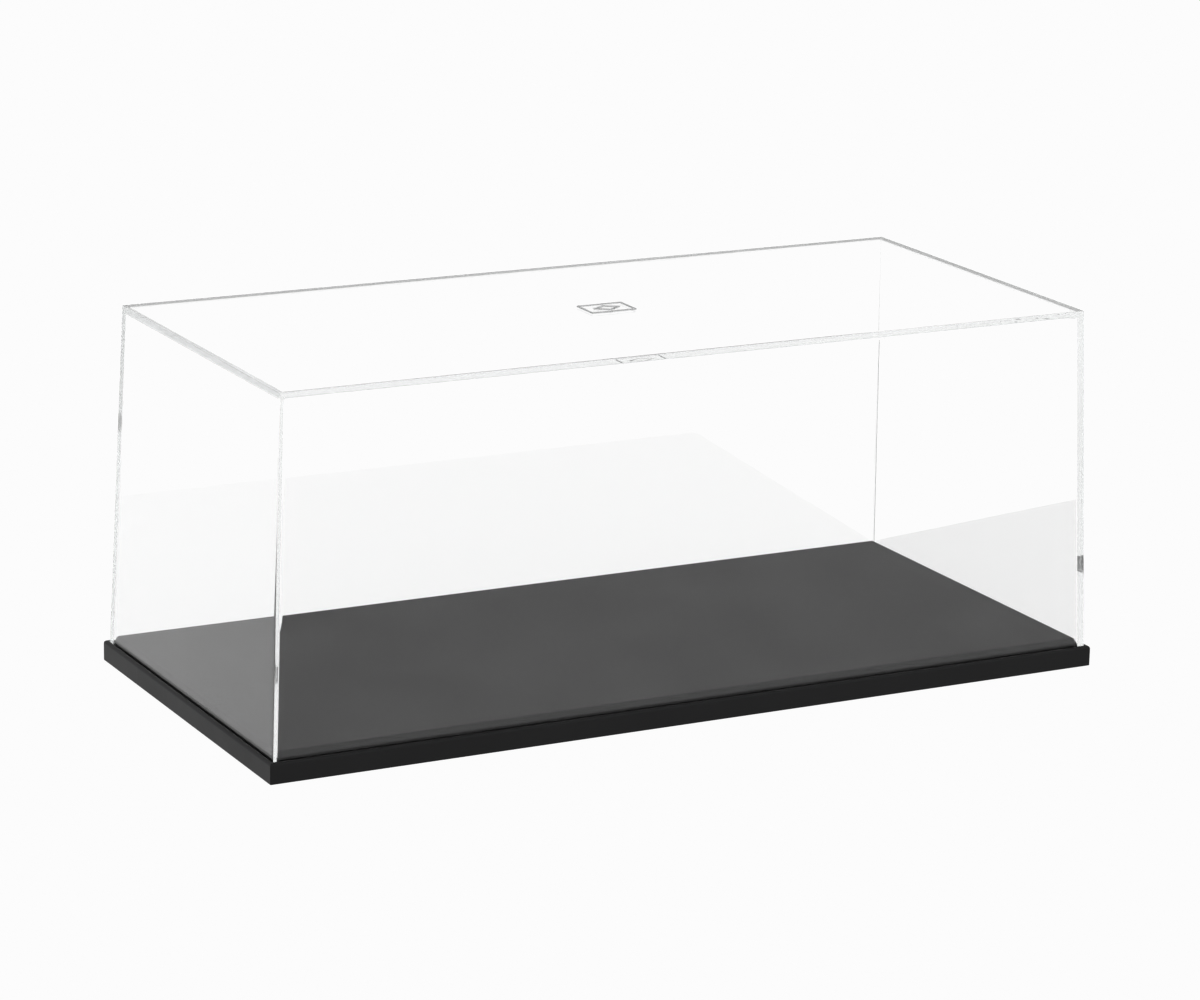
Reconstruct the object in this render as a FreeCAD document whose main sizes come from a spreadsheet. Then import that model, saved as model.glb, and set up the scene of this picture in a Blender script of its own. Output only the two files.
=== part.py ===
"""Display case for a scale model: a clear moulded cover that stands in the groove of a black moulded base.

Frame: +X along the case, +Y to its back, +Z up. The origin is the middle of the underside. Lengths are in mm.
"""

import FreeCAD, Part
import Sketcher
import os

DIMENSIONS = {
    # Base: a rim, a groove for the cover and a raised deck, from the outside inwards.
    "base_length": 380.0,
    "base_width": 177.6,
    "base_corner_round": 0.5,
    "rim_height": 8.7,
    "rim_width": 1.65,
    "rim_round": 1.4,
    "groove_width": 2.9,
    "groove_floor_height": 5.0,
    "deck_height": 11.6,
    "deck_corner_round": 2.2,
    "deck_round": 2.0,
    "small_round": 0.2,
    # Hollow underside of the base.
    "channel_wall": 1.8,
    "inner_wall": 2.2,
    "deck_thickness": 2.2,
    "rib_thickness": 1.4,
    "rib_foot_gap": 0.5,
    "rib_overlap": 0.4,
    "cross_ribs": 3,
    # Clear cover: drafted walls that spread downwards, and a flat roof.
    "case_height": 154.3,
    "cover_clearance": 0.25,
    "cover_wall": 2.2,
    "cover_roof": 2.7,
    "cover_draft": 2.0,
    "cover_outer_round": 0.4,
    "cover_inner_round": 1.2,
    # Emblem moulded in relief on the roof: a frame around a lozenge.
    "emblem_length": 21.0,
    "emblem_width": 14.4,
    "emblem_line": 0.9,
    "emblem_relief": 0.35,
    "lozenge_length": 13.0,
    "lozenge_width": 8.0,
}

TOLERANCE = 1e-3

# Outlines of the base, as insets from its outer edge.
GROOVE_OUTER = "dims.rim_width"
GROOVE_INNER = "(dims.rim_width + dims.groove_width)"
HOLLOW_SIDE = "(dims.rim_width + dims.groove_width + dims.inner_wall)"
COVER_OUTER = "(dims.rim_width + dims.cover_clearance)"
COVER_INNER = "(dims.rim_width + dims.cover_clearance + dims.cover_wall)"


def add_dimensions(document):
    """Put the driving dimensions in a spreadsheet, one row each, with the name as the alias."""
    sheet = document.addObject("Spreadsheet::Sheet", "dims")
    for row, (name, value) in enumerate(DIMENSIONS.items(), start=1):
        sheet.set(f"A{row}", name)
        sheet.set(f"B{row}", str(value))
        sheet.setAlias(f"B{row}", name)
    document.recompute()
    return sheet


def new_body(document, label):
    """Start a sub-part: a body whose label names its file."""
    body = document.addObject("PartDesign::Body", label)
    body.Label = label
    body.Placement = FreeCAD.Placement()
    return body


def origin_feature(body, role):
    """Return the body's own origin plane or axis of that role."""
    return next(item for item in body.Origin.OriginFeatures if item.Role == role)


def level_sketch(body, name, height):
    """Add an empty horizontal sketch at a height, which is an expression."""
    sketch = body.newObject("Sketcher::SketchObject", name)
    sketch.AttachmentSupport = [(origin_feature(body, "XY_Plane"), "")]
    sketch.MapMode = "FlatFace"
    sketch.setExpression("AttachmentOffset.Base.z", height)
    return sketch


def add_loop(sketch, corners):
    """Add straight lines round the corners, joined end to end, and return the first line's index."""
    first = sketch.GeometryCount
    points = [FreeCAD.Vector(x, y, 0) for x, y in corners]
    for start, end in zip(points, points[1:] + points[:1]):
        sketch.addGeometry(Part.LineSegment(start, end))
    for side in range(len(corners)):
        following = (side + 1) % len(corners)
        sketch.addConstraint(Sketcher.Constraint("Coincident", first + side, 2, first + following, 1))
    return first


def drive(sketch, name, constraint, expression):
    """Add a dimension to the sketch and bind it to an expression."""
    index = sketch.addConstraint(constraint)
    sketch.renameConstraint(index, name)
    sketch.setExpression(f"Constraints.{name}", expression)


def add_rectangle(sketch, name, length, width):
    """Add a rectangle centred on the sketch's origin, with its length and width bound to expressions."""
    first = add_loop(sketch, [(-20, -10), (20, -10), (20, 10), (-20, 10)])
    for side in (0, 2):
        sketch.addConstraint(Sketcher.Constraint("Horizontal", first + side))
        sketch.addConstraint(Sketcher.Constraint("Vertical", first + side + 1))
    sketch.addConstraint(Sketcher.Constraint("Symmetric", first, 1, first + 1, 2, -1, 1))
    across_length = Sketcher.Constraint("DistanceX", first, 1, first, 2, 40.0)
    across_width = Sketcher.Constraint("DistanceY", first + 1, 1, first + 1, 2, 20.0)
    drive(sketch, f"{name}_length", across_length, length)
    drive(sketch, f"{name}_width", across_width, width)


def add_lozenge(sketch, name, length, width):
    """Add a lozenge with its corners on the sketch's axes, with its length and width bound to expressions."""
    first = add_loop(sketch, [(-6, 0), (0, -4), (6, 0), (0, 4)])
    sketch.addConstraint(Sketcher.Constraint("PointOnObject", first, 1, -1))
    sketch.addConstraint(Sketcher.Constraint("PointOnObject", first + 1, 1, -2))
    sketch.addConstraint(Sketcher.Constraint("Symmetric", first, 1, first + 2, 1, -1, 1))
    sketch.addConstraint(Sketcher.Constraint("Symmetric", first + 1, 1, first + 3, 1, -1, 1))
    across_length = Sketcher.Constraint("DistanceX", first, 1, first + 2, 1, 12.0)
    across_width = Sketcher.Constraint("DistanceY", first + 1, 1, first + 3, 1, 8.0)
    drive(sketch, f"{name}_length", across_length, length)
    drive(sketch, f"{name}_width", across_width, width)


def add_outline(sketch, name, inset):
    """Add the base's outline, moved inwards by an inset."""
    add_rectangle(sketch, name, f"dims.base_length - 2 * {inset}", f"dims.base_width - 2 * {inset}")


def pad(body, name, sketch, height):
    """Build a sketch upwards into material."""
    feature = body.newObject("PartDesign::Pad", name)
    feature.Profile = sketch
    feature.setExpression("Length", height)
    return feature


def pocket(body, name, sketch, depth, upwards):
    """Cut a sketch out of the body, up or down from the sketch."""
    feature = body.newObject("PartDesign::Pocket", name)
    feature.Profile = sketch
    feature.Reversed = upwards
    feature.setExpression("Length", depth)
    return feature


def round_edges(body, name, base, wanted, radius):
    """Round the edges of a feature that a test picks."""
    names = [f"Edge{index}" for index, edge in enumerate(base.Shape.Edges, start=1) if wanted(edge)]
    if not names:
        raise RuntimeError(f"{name} finds no edge to round")
    feature = body.newObject("PartDesign::Fillet", name)
    feature.Base = (base, names)
    feature.setExpression("Radius", radius)
    body.Document.recompute()
    return feature


def is_level(edge, height):
    """Tell whether an edge lies flat at a height."""
    box = edge.BoundBox
    return abs(box.ZMin - height) < TOLERANCE and abs(box.ZMax - height) < TOLERANCE


def on_outline(edge, length, width):
    """Tell whether an edge's middle lies on the rectangle of that size."""
    middle = edge.CenterOfMass
    return abs(abs(middle.x) - length / 2) < TOLERANCE or abs(abs(middle.y) - width / 2) < TOLERANCE


def is_upright(edge, bottom, top):
    """Tell whether an edge climbs from one height to another."""
    box = edge.BoundBox
    return abs(box.ZMin - bottom) < TOLERANCE and abs(box.ZMax - top) < TOLERANCE


def base_block(body):
    """Build the base's outside: the block, the groove cut into it, and the deck."""
    block = level_sketch(body, "block_sketch", "0")
    add_outline(block, "block", "0")
    pad(body, "block", block, "dims.rim_height")

    groove = level_sketch(body, "groove_sketch", "dims.rim_height")
    add_outline(groove, "outer", GROOVE_OUTER)
    add_outline(groove, "inner", GROOVE_INNER)
    pocket(body, "groove", groove, "dims.rim_height - dims.groove_floor_height", upwards=False)

    deck = level_sketch(body, "deck_sketch", "dims.rim_height")
    add_outline(deck, "deck", GROOVE_INNER)
    raised_deck = pad(body, "deck", deck, "dims.deck_height - dims.rim_height")
    body.Document.recompute()
    return raised_deck


def round_base(body, sheet, last):
    """Round the base's corners, its rim, the deck's edge and the bottom edge."""
    length = sheet.base_length
    width = sheet.base_width
    rim_inset = 2 * sheet.rim_width
    deck_inset = 2 * (sheet.rim_width + sheet.groove_width)

    def is_corner(edge):
        return is_upright(edge, 0, sheet.rim_height)

    def is_deck_corner(edge):
        return is_upright(edge, sheet.groove_floor_height, sheet.deck_height)

    def is_rim(edge):
        return is_level(edge, sheet.rim_height) and on_outline(edge, length, width)

    def is_deck_edge(edge):
        at_deck_side = on_outline(edge, length - deck_inset, width - deck_inset)
        return is_level(edge, sheet.deck_height) and at_deck_side

    def is_small(edge):
        at_groove_side = on_outline(edge, length - rim_inset, width - rim_inset)
        at_outside = on_outline(edge, length, width)
        return (is_level(edge, sheet.rim_height) and at_groove_side) or (is_level(edge, 0) and at_outside)

    last = round_edges(body, "outer_corners", last, is_corner, "dims.base_corner_round")
    last = round_edges(body, "deck_corners", last, is_deck_corner, "dims.deck_corner_round")
    last = round_edges(body, "rim_edge", last, is_rim, "dims.rim_round")
    last = round_edges(body, "deck_edge", last, is_deck_edge, "dims.deck_round")
    return round_edges(body, "small_edges", last, is_small, "dims.small_round")


def hollow_base(body):
    """Hollow the base from below, under the groove and under the deck."""
    hollow = level_sketch(body, "hollow_sketch", "0")
    add_outline(hollow, "hollow", HOLLOW_SIDE)
    pocket(body, "hollow", hollow, "dims.deck_height - dims.deck_thickness", upwards=True)

    channel = level_sketch(body, "channel_sketch", "0")
    add_outline(channel, "outer", "dims.channel_wall")
    add_outline(channel, "inner", GROOVE_INNER)
    pocket(body, "channel", channel, "dims.groove_floor_height - dims.channel_wall", upwards=True)


def add_ribs(body):
    """Stiffen the deck from below with one long rib and evenly spaced cross ribs, short of the floor."""
    height = "dims.deck_height - dims.deck_thickness + dims.rib_overlap - dims.rib_foot_gap"
    hollow_length = f"(dims.base_length - 2 * {HOLLOW_SIDE})"
    hollow_width = f"(dims.base_width - 2 * {HOLLOW_SIDE})"
    spacing = f"{hollow_length} / (dims.cross_ribs + 1)"
    span = f"(dims.cross_ribs - 1) * {spacing}"

    along = level_sketch(body, "long_rib_sketch", "dims.rib_foot_gap")
    add_rectangle(along, "rib", f"{hollow_length} + 2 * dims.rib_overlap", "dims.rib_thickness")
    pad(body, "long_rib", along, height)

    across = level_sketch(body, "cross_rib_sketch", "dims.rib_foot_gap")
    across.setExpression("AttachmentOffset.Base.x", f"-{span} / 2")
    add_rectangle(across, "rib", "dims.rib_thickness", f"{hollow_width} + 2 * dims.rib_overlap")
    first_rib = pad(body, "cross_rib", across, height)

    ribs = body.newObject("PartDesign::LinearPattern", "cross_ribs")
    ribs.Originals = [first_rib]
    ribs.Direction = (across, ["H_Axis"])
    ribs.setExpression("Length", span)
    ribs.setExpression("Occurrences", "dims.cross_ribs")
    body.Tip = ribs


def make_base(document, sheet):
    """Make the black base, one moulding with a groove for the cover and a raised deck for the model."""
    body = new_body(document, "base")
    deck = base_block(body)
    round_base(body, sheet, deck)
    hollow_base(body)
    add_ribs(body)
    return body


def cover_shell(body):
    """Build the cover's drafted block and hollow it from below."""
    outside = level_sketch(body, "outside_sketch", "dims.groove_floor_height")
    add_outline(outside, "outside", COVER_OUTER)
    shell = pad(body, "shell", outside, "dims.case_height - dims.groove_floor_height")
    shell.setExpression("TaperAngle", "-dims.cover_draft")

    inside = level_sketch(body, "inside_sketch", "dims.groove_floor_height")
    add_outline(inside, "inside", COVER_INNER)
    depth = "dims.case_height - dims.cover_roof - dims.groove_floor_height"
    space = pocket(body, "space", inside, depth, upwards=True)
    space.setExpression("TaperAngle", "-dims.cover_draft")
    body.Document.recompute()
    return space


def round_cover(body, sheet, last):
    """Round the cover's corners and roof edges, tightly outside and more softly inside."""
    foot = sheet.groove_floor_height
    roof = sheet.case_height
    ceiling = sheet.case_height - sheet.cover_roof

    def is_outside(edge):
        return is_upright(edge, foot, roof) or is_level(edge, roof)

    def is_inside(edge):
        return is_upright(edge, foot, ceiling) or is_level(edge, ceiling)

    last = round_edges(body, "outer_edges", last, is_outside, "dims.cover_outer_round")
    return round_edges(body, "inner_edges", last, is_inside, "dims.cover_inner_round")


def add_emblem(body):
    """Raise a plain emblem in the middle of the roof: a frame, and a lozenge inside it."""
    frame = level_sketch(body, "frame_sketch", "dims.case_height")
    add_rectangle(frame, "outer", "dims.emblem_length", "dims.emblem_width")
    line = "2 * dims.emblem_line"
    add_rectangle(frame, "inner", f"dims.emblem_length - {line}", f"dims.emblem_width - {line}")
    pad(body, "frame", frame, "dims.emblem_relief")

    side = "sqrt(dims.lozenge_length ^ 2 + dims.lozenge_width ^ 2)"
    lozenge = level_sketch(body, "lozenge_sketch", "dims.case_height")
    add_lozenge(lozenge, "outer", "dims.lozenge_length", "dims.lozenge_width")
    add_lozenge(lozenge, "inner",
                f"dims.lozenge_length - {line} * {side} / dims.lozenge_width",
                f"dims.lozenge_width - {line} * {side} / dims.lozenge_length")
    pad(body, "lozenge", lozenge, "dims.emblem_relief")


def make_cover(document, sheet):
    """Make the clear cover, one moulding that stands on the floor of the base's groove."""
    body = new_body(document, "cover")
    shell = cover_shell(body)
    round_cover(body, sheet, shell)
    add_emblem(body)
    return body


def check_document(document, bodies):
    """Stop if any feature failed, any cut missed, or any sub-part isn't one valid solid."""
    for item in document.Objects:
        if "Invalid" in item.State or "Error" in item.State:
            raise RuntimeError(f"{item.Name} failed: {item.State}")
        if item.TypeId == "PartDesign::Pocket" and item.Shape.Volume >= item.BaseFeature.Shape.Volume:
            raise RuntimeError(f"{item.Name} cuts nothing")
    for body in bodies:
        if body.Shape.isNull() or not body.Shape.isValid():
            raise RuntimeError(f"{body.Label} has no valid shape")
        if len(body.Shape.Solids) != 1:
            raise RuntimeError(f"{body.Label} is {len(body.Shape.Solids)} solids")


def main():
    """Make both sub-parts, check them and write one STEP file for each."""
    os.makedirs("parts", exist_ok=True)
    document = FreeCAD.newDocument("display_case")
    sheet = add_dimensions(document)
    bodies = [make_base(document, sheet), make_cover(document, sheet)]
    document.recompute()
    check_document(document, bodies)
    for body in bodies:
        body.Shape.exportStep(f"parts/{body.Label}.step")
        box = body.Shape.optimalBoundingBox()
        print(body.Label, f"{box.XLength:.2f} x {box.YLength:.2f} x {box.ZLength:.2f} mm,",
              f"z {box.ZMin:.2f} to {box.ZMax:.2f}, {body.Shape.Volume / 1000:.1f} cm3")


main()
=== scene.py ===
"""Looks of a display case for a scale model: a clear moulded cover that stands on a black moulded base.

Lengths are in metres, in the CAD model's frame: +X along the case, +Y to its back, +Z up, and the origin at
the middle of the underside.
"""

import math

import bmesh
import bpy
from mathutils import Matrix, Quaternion, Vector


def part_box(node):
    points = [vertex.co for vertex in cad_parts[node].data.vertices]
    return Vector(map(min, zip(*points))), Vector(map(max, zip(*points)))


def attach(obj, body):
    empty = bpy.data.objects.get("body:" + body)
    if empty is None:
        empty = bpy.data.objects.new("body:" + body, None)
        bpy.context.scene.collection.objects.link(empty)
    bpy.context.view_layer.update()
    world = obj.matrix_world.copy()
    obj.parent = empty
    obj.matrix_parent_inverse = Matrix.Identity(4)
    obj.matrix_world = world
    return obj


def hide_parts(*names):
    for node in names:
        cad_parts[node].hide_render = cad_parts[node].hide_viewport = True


MM = 0.001

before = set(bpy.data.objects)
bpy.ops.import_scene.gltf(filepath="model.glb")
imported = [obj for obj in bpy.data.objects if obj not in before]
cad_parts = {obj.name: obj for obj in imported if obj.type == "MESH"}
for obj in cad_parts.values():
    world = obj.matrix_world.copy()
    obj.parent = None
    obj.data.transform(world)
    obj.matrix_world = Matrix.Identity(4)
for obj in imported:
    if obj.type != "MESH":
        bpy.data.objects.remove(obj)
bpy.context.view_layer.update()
_, base_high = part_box("base")
cover_low, cover_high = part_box("cover")

# Base, from the outside inwards: a rim, the groove that the cover stands in, and the deck.
HALF_LENGTH = base_high.x
HALF_WIDTH = base_high.y
DECK_HEIGHT = base_high.z
GROOVE_FLOOR = cover_low.z
RIM_HEIGHT = 8.7 * MM
RIM_WIDTH = 1.65 * MM
RIM_ROUND = 1.4 * MM
GROOVE_WIDTH = 2.9 * MM
GROOVE_CORNER = 0.3 * MM
DECK_ROUND = 2.0 * MM
DECK_CORNER = 2.2 * MM
BASE_CORNER = 0.5 * MM
SMALL_ROUND = 0.2 * MM

# The base's hollow underside.
CHANNEL_WALL = 1.8 * MM
INNER_WALL = 2.2 * MM
DECK_THICKNESS = 2.2 * MM
INSIDE_CORNER = 0.5 * MM
RIB_THICKNESS = 1.4 * MM
RIB_FOOT_GAP = 0.5 * MM
RIB_OVERLAP = 0.4 * MM
CROSS_RIBS = 3

# Clear cover: walls that spread downwards, and a flat roof.
COVER_WALL = 2.2 * MM
COVER_ROOF = 2.7 * MM
COVER_DRAFT = math.radians(2.0)
COVER_OUTER_ROUND = 0.4 * MM
COVER_INNER_ROUND = 1.2 * MM
COVER_FOOT_ROUND = 0.15 * MM
COVER_FOOT_GAP = 0.02 * MM    # air under the foot, where the CAD's cover rests on the groove's floor

# Emblem raised on the roof: a frame, and a lozenge inside it.
EMBLEM_LENGTH = 21.0 * MM
EMBLEM_WIDTH = 14.4 * MM
EMBLEM_LINE = 0.9 * MM
EMBLEM_RELIEF = 0.35 * MM
EMBLEM_CORNER = 0.4 * MM
EMBLEM_ROUND = 0.1 * MM
LOZENGE_LENGTH = 13.0 * MM
LOZENGE_WIDTH = 8.0 * MM
ROOF_HEIGHT = cover_high.z - EMBLEM_RELIEF

CORNER_STEPS = 6
ROUND_STEPS = 6
WELD_DISTANCE = 0.001 * MM
SHARP_ANGLE = math.radians(32)

# The deck is rougher than the sides, from just below its top.
SATIN_DEPTH = 1.0 * MM
SATIN_ROUGHNESS = 0.18

# Camera: a long lens, from the left of the front and a little above.
AIM = Vector((-0.0016, -0.0006, 0.0719))
VIEW_DISTANCE = 1.8003
VIEW_AZIMUTH = math.radians(27.87)
VIEW_ELEVATION = math.radians(15.28)
VIEW_ROLL = math.radians(1.18)
LENS = 128.53
PATH_BOUNCES = 512

# Room: pairs of a height, from 0 straight down to 1 straight up, and the brightness there.
BACK_SKY = ((0.0, 1.05), (0.65, 1.05), (0.8, 0.9), (1.0, 0.95))
FRONT_SKY = ((0.0, 0.5), (0.5, 0.5), (0.62, 1.4), (0.85, 1.4), (1.0, 0.95))
SKY_BLEND = 0.4

# Floor: mostly lit by itself, so that shadows on it stay faint.
FLOOR_SIZE = 12
FLOOR_GLOW = 1.05
FLOOR_GLOW_SHARE = 0.9

# Tone curve of the picture.
FILM_GAMMA = 0.8
FILM_WHITE = 0.978

# Haze in the clear plastic: absorption, and a constant glow that stands in for scattered light.
HAZE_COLOUR = (0.5, 0.51, 0.51, 1)
HAZE_DENSITY = 5.0
HAZE_GLOW = 1.65

# Surfaces, as pairs of the smoothest and the roughest place.
BLACK_ROUGHNESS = (0.36, 0.44)
CLEAR_ROUGHNESS = (0.0, 0.02)
FROSTED_ROUGHNESS = (0.5, 0.65)
FROSTED_TINT = 0.6
BLACK_IOR = 1.5
BLACK_SPECULAR = 0.3
CLEAR_IOR = 1.49


# Outlines and lofts

def rounded_outline(corners, radius, height):
    """Points of an outline at a height, through the corners in anticlockwise order, each corner rounded."""
    points = []
    for index, corner in enumerate(corners):
        back = (corners[index - 1] - corner).normalized()
        ahead = (corners[(index + 1) % len(corners)] - corner).normalized()
        inwards = (back + ahead).normalized()
        half_angle = back.angle(ahead) / 2
        centre = corner + inwards * radius / math.sin(half_angle)
        first = back / math.tan(half_angle) - inwards / math.sin(half_angle)
        last = ahead / math.tan(half_angle) - inwards / math.sin(half_angle)
        for step in range(CORNER_STEPS + 1):
            points.append((centre + first.slerp(last, step / CORNER_STEPS) * radius).to_3d())
    for point in points:
        point.z = height
    return points


def rectangle(half_length, half_width, radius, height):
    """Outline of a rectangle round the middle."""
    signs = ((1, 1), (-1, 1), (-1, -1), (1, -1))
    corners = [Vector((half_length * side, half_width * end)) for side, end in signs]
    return rounded_outline(corners, radius, height)


def lozenge(half_length, half_width, radius, height):
    """Outline of a lozenge round the middle, with as many points as a rectangle's."""
    corners = [
        Vector((half_length, 0)),
        Vector((0, half_width)),
        Vector((-half_length, 0)),
        Vector((0, -half_width)),
    ]
    return rounded_outline(corners, radius, height)


def arc(centre, radius, start, end):
    """Points of a round in a section, between two angles in degrees."""
    angles = [math.radians(start + (end - start) * step / ROUND_STEPS) for step in range(ROUND_STEPS + 1)]
    return [(centre[0] + radius * math.cos(a), centre[1] + radius * math.sin(a)) for a in angles]


def loft(mesh, outlines):
    """Skin the outlines in order and close both ends with a flat face."""
    loops = [[mesh.verts.new(point) for point in outline] for outline in outlines]
    for lower, upper in zip(loops, loops[1:]):
        for index in range(len(lower)):
            following = (index + 1) % len(lower)
            mesh.faces.new((lower[index], lower[following], upper[following], upper[index]))
    mesh.faces.new(loops[0])
    mesh.faces.new(loops[-1])
    bmesh.ops.remove_doubles(mesh, verts=mesh.verts, dist=WELD_DISTANCE)
    bmesh.ops.recalc_face_normals(mesh, faces=mesh.faces)


def block(low, high):
    """A closed box between two corners, as a mesh."""
    mesh = bmesh.new()
    bmesh.ops.create_cube(mesh, size=1)
    size = high - low
    middle = (high + low) / 2
    for vert in mesh.verts:
        vert.co = Vector(a * b for a, b in zip(vert.co, size)) + middle
    return mesh


def new_piece(name, mesh):
    """Turn a bmesh into an object of the scene."""
    data = bpy.data.meshes.new(name)
    mesh.to_mesh(data)
    mesh.free()
    piece = bpy.data.objects.new(name, data)
    bpy.context.scene.collection.objects.link(piece)
    return piece


def shade(piece):
    """Shade the rounds smoothly and keep the flat faces flat and the sharp edges sharp."""
    mesh = piece.data
    mesh.shade_smooth()
    mesh.set_sharp_from_angle(angle=SHARP_ANGLE)
    weighted = piece.modifiers.new("even_shading", "WEIGHTED_NORMAL")
    weighted.keep_sharp = True
    weighted.weight = 100


# Base

def base_outline(inset, height, radius):
    """The base's outline, moved inwards by an inset."""
    return rectangle(HALF_LENGTH - inset, HALF_WIDTH - inset, radius, height)


def outer_section():
    """Outlines of the base's outer wall and rim, from the floor up and into the groove."""
    foot = arc((SMALL_ROUND, SMALL_ROUND), SMALL_ROUND, 270, 180)
    rim = arc((RIM_ROUND, RIM_HEIGHT - RIM_ROUND), RIM_ROUND, 180, 90)
    lip = arc((RIM_WIDTH - SMALL_ROUND, RIM_HEIGHT - SMALL_ROUND), SMALL_ROUND, 90, 0)
    outside = []
    for inset, height in foot + rim:
        outside.append(base_outline(inset, height, max(BASE_CORNER - inset, GROOVE_CORNER)))
    groove_side = [base_outline(inset, height, GROOVE_CORNER) for inset, height in lip]
    return outside + groove_side + [base_outline(RIM_WIDTH, GROOVE_FLOOR, GROOVE_CORNER)]


def deck_section():
    """Outlines from the groove's floor up to the deck and over its round edge."""
    side = RIM_WIDTH + GROOVE_WIDTH
    outlines = [base_outline(side, GROOVE_FLOOR, DECK_CORNER)]
    for inset, height in arc((side + DECK_ROUND, DECK_HEIGHT - DECK_ROUND), DECK_ROUND, 180, 90):
        outlines.append(base_outline(inset, height, DECK_CORNER + side - inset))
    return outlines


def underside_section():
    """Outlines of the hollow underside, from the deck's underside down and out to the foot."""
    groove_inner = RIM_WIDTH + GROOVE_WIDTH
    hollow = groove_inner + INNER_WALL
    corners = [
        (hollow, DECK_HEIGHT - DECK_THICKNESS),
        (hollow, 0),
        (groove_inner, 0),
        (groove_inner, GROOVE_FLOOR - CHANNEL_WALL),
        (CHANNEL_WALL, GROOVE_FLOOR - CHANNEL_WALL),
        (CHANNEL_WALL, 0),
    ]
    return [base_outline(inset, height, INSIDE_CORNER) for inset, height in corners]


def rib_blocks():
    """One long rib and evenly spaced cross ribs under the deck."""
    hollow = RIM_WIDTH + GROOVE_WIDTH + INNER_WALL
    top = DECK_HEIGHT - DECK_THICKNESS + RIB_OVERLAP
    half_length = HALF_LENGTH - hollow + RIB_OVERLAP
    half_width = HALF_WIDTH - hollow + RIB_OVERLAP
    half_rib = RIB_THICKNESS / 2
    spacing = 2 * (HALF_LENGTH - hollow) / (CROSS_RIBS + 1)
    blocks = [block(Vector((-half_length, -half_rib, RIB_FOOT_GAP)), Vector((half_length, half_rib, top)))]
    for index in range(CROSS_RIBS):
        x = spacing * (index - (CROSS_RIBS - 1) / 2)
        low = Vector((x - half_rib, -half_width, RIB_FOOT_GAP))
        blocks.append(block(low, Vector((x + half_rib, half_width, top))))
    return blocks


def join_solids(piece, blocks):
    """Join closed blocks to a piece as one solid."""
    for number, mesh in enumerate(blocks):
        part = new_piece(f"joined_{number}", mesh)
        union = piece.modifiers.new("union", "BOOLEAN")
        union.operation = "UNION"
        union.solver = "EXACT"
        union.object = part
        evaluated = piece.evaluated_get(bpy.context.evaluated_depsgraph_get())
        joined = bpy.data.meshes.new_from_object(evaluated)
        piece.modifiers.clear()
        piece.data = joined
        bpy.data.objects.remove(part)


def make_base():
    """The black base, one moulding, hollow and ribbed below."""
    mesh = bmesh.new()
    loft(mesh, underside_section() + outer_section() + deck_section())
    piece = new_piece("base_moulding", mesh)
    join_solids(piece, rib_blocks())
    shade(piece)
    piece.data.materials.append(black_plastic())
    return piece


# Clear cover

def cover_outline(inset, height, radius):
    """The cover's outline at a height, moved inwards by an inset from its drafted outside."""
    lean = (height - GROOVE_FLOOR) * math.tan(COVER_DRAFT)
    return rectangle(cover_high.x - lean - inset, cover_high.y - lean - inset, radius, height)


def drafted_round(inset, top, radius):
    """Outlines of the round between a drafted wall and a flat roof at a height."""
    centre_height = top - radius
    centre_inset = inset + radius / math.cos(COVER_DRAFT)
    outlines = []
    for step in range(ROUND_STEPS + 1):
        angle = COVER_DRAFT + (math.pi / 2 - COVER_DRAFT) * step / ROUND_STEPS
        height = centre_height + radius * math.sin(angle)
        climbed = (height - centre_height) * math.tan(COVER_DRAFT)
        outlines.append(
            cover_outline(
                centre_inset - radius * math.cos(angle) - climbed, height, radius * math.cos(angle)
            )
        )
    return outlines


def foot_outlines():
    """Outlines of the cover's foot, from the outside round to the inside.

    Real plastic rests on a few high spots, so a thin gap keeps light inside the foot.
    """
    height = GROOVE_FLOOR + COVER_FOOT_GAP + COVER_FOOT_ROUND
    outer = arc((COVER_FOOT_ROUND, height), COVER_FOOT_ROUND, 180, 270)
    inner = arc((COVER_WALL - COVER_FOOT_ROUND, height), COVER_FOOT_ROUND, 270, 360)
    outlines = [cover_outline(inset, height, COVER_OUTER_ROUND) for inset, height in outer]
    outlines += [cover_outline(inset, height, COVER_INNER_ROUND) for inset, height in inner]
    return outlines


def raised_line(outline_of, half_length, half_width, line_length, line_width):
    """Outlines of a raised line of the emblem, from its inner side over the top to its outer side."""
    top = ROOF_HEIGHT + EMBLEM_RELIEF
    shoulder = top - EMBLEM_ROUND
    inner = (half_length - line_length, half_width - line_width)
    return [
        outline_of(inner[0], inner[1], EMBLEM_CORNER, ROOF_HEIGHT),
        outline_of(inner[0], inner[1], EMBLEM_CORNER, shoulder),
        outline_of(inner[0] + EMBLEM_ROUND, inner[1] + EMBLEM_ROUND, EMBLEM_CORNER, top),
        outline_of(half_length - EMBLEM_ROUND, half_width - EMBLEM_ROUND, EMBLEM_CORNER, top),
        outline_of(half_length, half_width, EMBLEM_CORNER, shoulder),
        outline_of(half_length, half_width, EMBLEM_CORNER, ROOF_HEIGHT),
    ]


def emblem_outlines():
    """Outlines of the emblem, from the middle of the lozenge to the outside of the frame."""
    side = math.hypot(LOZENGE_LENGTH, LOZENGE_WIDTH)
    line_length = EMBLEM_LINE * side / LOZENGE_WIDTH
    line_width = EMBLEM_LINE * side / LOZENGE_LENGTH
    outlines = raised_line(lozenge, LOZENGE_LENGTH / 2, LOZENGE_WIDTH / 2, line_length, line_width)
    return outlines + raised_line(rectangle, EMBLEM_LENGTH / 2, EMBLEM_WIDTH / 2, EMBLEM_LINE, EMBLEM_LINE)


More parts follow.
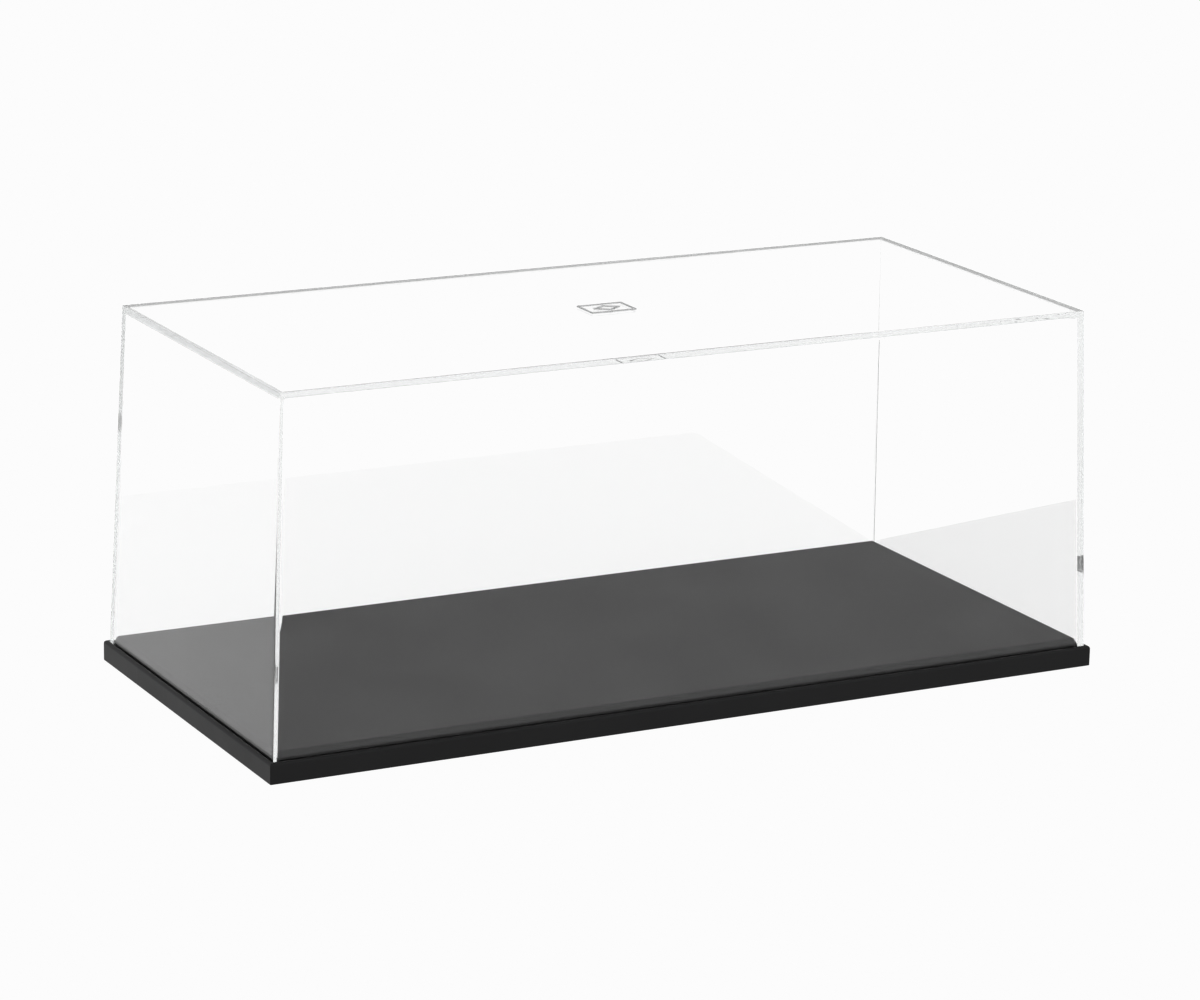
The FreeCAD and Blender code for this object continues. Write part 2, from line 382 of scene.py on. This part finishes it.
def make_cover():
    """The clear cover, one moulding: the emblem, the roof, the walls, the foot and the inside."""
    outside = drafted_round(0, ROOF_HEIGHT, COVER_OUTER_ROUND)
    inside = drafted_round(COVER_WALL, ROOF_HEIGHT - COVER_ROOF, COVER_INNER_ROUND)
    mesh = bmesh.new()
    loft(mesh, emblem_outlines() + outside[::-1] + foot_outlines() + inside)
    for face in mesh.faces:
        face.material_index = int(face.calc_center_median().z > ROOF_HEIGHT + WELD_DISTANCE)
    piece = new_piece("clear_cover", mesh)
    shade(piece)
    piece.data.materials.append(clear_plastic("clear_plastic", 1.0, CLEAR_ROUGHNESS))
    piece.data.materials.append(clear_plastic("frosted_plastic", FROSTED_TINT, FROSTED_ROUGHNESS))
    return piece


# Materials

def new_material(name):
    """Start a material and return it with its nodes, its links and its shader."""
    material = bpy.data.materials.new(name)
    material.use_nodes = True
    tree = material.node_tree
    shader = tree.nodes["Principled BSDF"]
    return material, tree, shader


def noise(tree, scale, detail, roughness, stretch=(1, 1, 1), turn=0):
    """A noise texture in the object's own coordinates, turned about the vertical and stretched."""
    coordinates = tree.nodes.new("ShaderNodeTexCoord")
    mapping = tree.nodes.new("ShaderNodeMapping")
    mapping.inputs["Rotation"].default_value = (0, 0, turn)
    mapping.inputs["Scale"].default_value = [1 / length for length in stretch]
    texture = tree.nodes.new("ShaderNodeTexNoise")
    texture.inputs["Scale"].default_value = scale
    texture.inputs["Detail"].default_value = detail
    texture.inputs["Roughness"].default_value = roughness
    tree.links.new(coordinates.outputs["Object"], mapping.inputs["Vector"])
    tree.links.new(mapping.outputs["Vector"], texture.inputs["Vector"])
    return texture.outputs["Fac"]


def height_above_floor(tree):
    """The height of a point of the piece above its underside, in metres."""
    coordinates = tree.nodes.new("ShaderNodeTexCoord")
    split = tree.nodes.new("ShaderNodeSeparateXYZ")
    tree.links.new(coordinates.outputs["Object"], split.inputs["Vector"])
    return split.outputs["Z"]


def remap(tree, source, low, high, to_low, to_high):
    """Map a value's range to another, clamped at both ends."""
    node = tree.nodes.new("ShaderNodeMapRange")
    values = {"From Min": low, "From Max": high, "To Min": to_low, "To Max": to_high}
    for socket, value in values.items():
        node.inputs[socket].default_value = value
    tree.links.new(source, node.inputs["Value"])
    return node.outputs["Result"]


def combine(tree, operation, first, second):
    """Combine two values, each a socket or a number."""
    node = tree.nodes.new("ShaderNodeMath")
    node.operation = operation
    for index, value in enumerate((first, second)):
        if isinstance(value, bpy.types.NodeSocket):
            tree.links.new(value, node.inputs[index])
        else:
            node.inputs[index].default_value = value
    return node.outputs["Value"]


def scratches(tree, depth):
    """Thin scratches in two directions, as a value from none to a depth."""
    along = noise(tree, 900, detail=2, roughness=0.5, stretch=(80, 1, 80), turn=math.radians(20))
    across = noise(tree, 1100, detail=2, roughness=0.5, stretch=(1, 60, 60), turn=math.radians(-15))
    deepest = combine(tree, "MAXIMUM", along, across)
    return remap(tree, deepest, 0.70, 0.76, 0.0, depth)


def bump(tree, height, distance, strength):
    """Turn a height into a bumped normal."""
    node = tree.nodes.new("ShaderNodeBump")
    node.inputs["Distance"].default_value = distance
    node.inputs["Strength"].default_value = strength
    tree.links.new(height, node.inputs["Height"])
    return node.outputs["Normal"]


def black_plastic():
    """Black moulded plastic: a satin deck, smoother sides and rim, and faint scratches all over."""
    material, tree, shader = new_material("black_plastic")
    shader.inputs["IOR"].default_value = BLACK_IOR
    shader.inputs["Specular IOR Level"].default_value = BLACK_SPECULAR
    tone = tree.nodes.new("ShaderNodeValToRGB")
    tone.color_ramp.elements[0].color = (0.006, 0.006, 0.0065, 1)
    tone.color_ramp.elements[1].color = (0.011, 0.011, 0.0115, 1)
    tree.links.new(noise(tree, scale=35, detail=4, roughness=0.5), tone.inputs["Fac"])
    tree.links.new(tone.outputs["Color"], shader.inputs["Base Color"])
    blotches = remap(tree, noise(tree, scale=22, detail=5, roughness=0.6), 0.3, 0.7, *BLACK_ROUGHNESS)
    height = height_above_floor(tree)
    satin = remap(tree, height, DECK_HEIGHT - SATIN_DEPTH, DECK_HEIGHT, 0.0, SATIN_ROUGHNESS)
    worn = combine(tree, "SUBTRACT", satin, scratches(tree, depth=0.06))
    tree.links.new(combine(tree, "ADD", blotches, worn), shader.inputs["Roughness"])
    fine_noise = noise(tree, scale=3500, detail=3, roughness=0.6)
    grain = combine(tree, "SUBTRACT", fine_noise, scratches(tree, depth=0.2))
    tree.links.new(bump(tree, grain, distance=0.01 * MM, strength=0.2), shader.inputs["Normal"])
    return material


def haze(tree):
    """Haze in the plastic: it absorbs light that runs along a wall, and glows evenly.

    Real plastic doesn't glow. This stands in for light scattered inside it, and is the same in any room.
    It is the volume's own, because an Emission node would be exported as a glow of the surface.
    The shader takes the square root of its absorption colour, so the colour is squared here.
    """
    volume = tree.nodes.new("ShaderNodeVolumePrincipled")
    volume.inputs["Color"].default_value = (0, 0, 0, 1)
    volume.inputs["Absorption Color"].default_value = [tone ** 2 for tone in HAZE_COLOUR]
    volume.inputs["Density"].default_value = HAZE_DENSITY
    volume.inputs["Emission Strength"].default_value = HAZE_GLOW
    return volume.outputs["Volume"]


def clear_plastic(name, tint, roughness):
    """Clear moulded plastic whose roughness varies in faint smears and hair-fine scratches."""
    material, tree, shader = new_material(name)
    shader.inputs["Base Color"].default_value = (tint, tint, tint, 1)
    shader.inputs["Transmission Weight"].default_value = 1.0
    shader.inputs["IOR"].default_value = CLEAR_IOR
    smears = remap(tree, noise(tree, scale=18, detail=4, roughness=0.6), 0.35, 0.7, *roughness)
    worn = combine(tree, "ADD", smears, scratches(tree, depth=0.004))
    tree.links.new(worn, shader.inputs["Roughness"])
    tree.links.new(haze(tree), tree.nodes["Material Output"].inputs["Volume"])
    return material


# Studio

def make_floor():
    """A pale floor, mostly lit by itself, about as bright as the room behind the case."""
    mesh = bmesh.new()
    bmesh.ops.create_grid(mesh, x_segments=8, y_segments=8, size=FLOOR_SIZE)
    floor = new_piece("floor", mesh)
    material, tree, shader = new_material("pale_floor")
    shader.inputs["Base Color"].default_value = (0.93, 0.93, 0.93, 1)
    shader.inputs["Roughness"].default_value = 1.0
    shader.inputs["Specular IOR Level"].default_value = 0.0
    glow = tree.nodes.new("ShaderNodeEmission")
    glow.inputs["Strength"].default_value = FLOOR_GLOW
    mix = tree.nodes.new("ShaderNodeMixShader")
    mix.inputs["Fac"].default_value = FLOOR_GLOW_SHARE
    tree.links.new(shader.outputs["BSDF"], mix.inputs[1])
    tree.links.new(glow.outputs["Emission"], mix.inputs[2])
    tree.links.new(mix.outputs["Shader"], tree.nodes["Material Output"].inputs["Surface"])
    floor.data.materials.append(material)


def sky_ramp(tree, height, levels):
    """Brightness of the room by height, from straight down to straight up."""
    sky = tree.nodes.new("ShaderNodeValToRGB")
    tree.links.new(height, sky.inputs["Fac"])
    sky.color_ramp.elements.remove(sky.color_ramp.elements[1])
    for position, level in levels:
        element = sky.color_ramp.elements.new(position)
        element.color = (level, level, level, 1)
    sky.color_ramp.elements.remove(sky.color_ramp.elements[0])
    return sky.outputs["Color"]


def make_world():
    """Soft light from a white room, brighter in a band above the front and dimmer below it."""
    world = bpy.data.worlds.new("studio")
    bpy.context.scene.world = world
    world.use_nodes = True
    tree = world.node_tree
    coordinates = tree.nodes.new("ShaderNodeTexCoord")
    direction = tree.nodes.new("ShaderNodeSeparateXYZ")
    tree.links.new(coordinates.outputs["Generated"], direction.inputs["Vector"])
    height = remap(tree, direction.outputs["Z"], -1, 1, 0, 1)
    mix = tree.nodes.new("ShaderNodeMixRGB")
    tree.links.new(remap(tree, direction.outputs["Y"], -SKY_BLEND, SKY_BLEND, 0, 1), mix.inputs["Fac"])
    tree.links.new(sky_ramp(tree, height, FRONT_SKY), mix.inputs["Color1"])
    tree.links.new(sky_ramp(tree, height, BACK_SKY), mix.inputs["Color2"])
    tree.links.new(mix.outputs["Color"], tree.nodes["Background"].inputs["Color"])


def make_camera():
    """The camera, aimed at the middle of the case."""
    data = bpy.data.cameras.new("camera")
    data.lens = LENS
    camera = bpy.data.objects.new("camera", data)
    bpy.context.scene.collection.objects.link(camera)
    level = Vector((math.sin(VIEW_AZIMUTH), math.cos(VIEW_AZIMUTH), 0))
    forward = level * math.cos(VIEW_ELEVATION) - Vector((0, 0, math.sin(VIEW_ELEVATION)))
    camera.location = AIM - forward * VIEW_DISTANCE
    camera.rotation_mode = "QUATERNION"
    camera.rotation_quaternion = forward.to_track_quat("-Z", "Y") @ Quaternion((0, 0, 1), VIEW_ROLL)
    bpy.context.scene.camera = camera


def set_up_light_paths():
    """Let light run along the inside of the clear walls, by as many reflections as that takes."""
    cycles = bpy.context.scene.cycles
    cycles.max_bounces = PATH_BOUNCES
    cycles.glossy_bounces = PATH_BOUNCES
    cycles.transmission_bounces = PATH_BOUNCES


def set_up_film():
    """Print with deep blacks, and with the bright floor just short of full white."""
    view = bpy.context.scene.view_settings
    view.view_transform = "Standard"
    view.gamma = FILM_GAMMA
    view.use_curve_mapping = True
    view.curve_mapping.extend = "HORIZONTAL"
    curve = view.curve_mapping.curves[3]
    for point in curve.points:
        point.handle_type = "VECTOR"
    curve.points[-1].location = (1.0, FILM_WHITE)
    view.curve_mapping.update()


base = make_base()
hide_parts("base")
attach(base, "base")

cover = make_cover()
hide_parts("cover")
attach(cover, "cover")

make_floor()
make_world()
make_camera()
set_up_light_paths()
set_up_film()
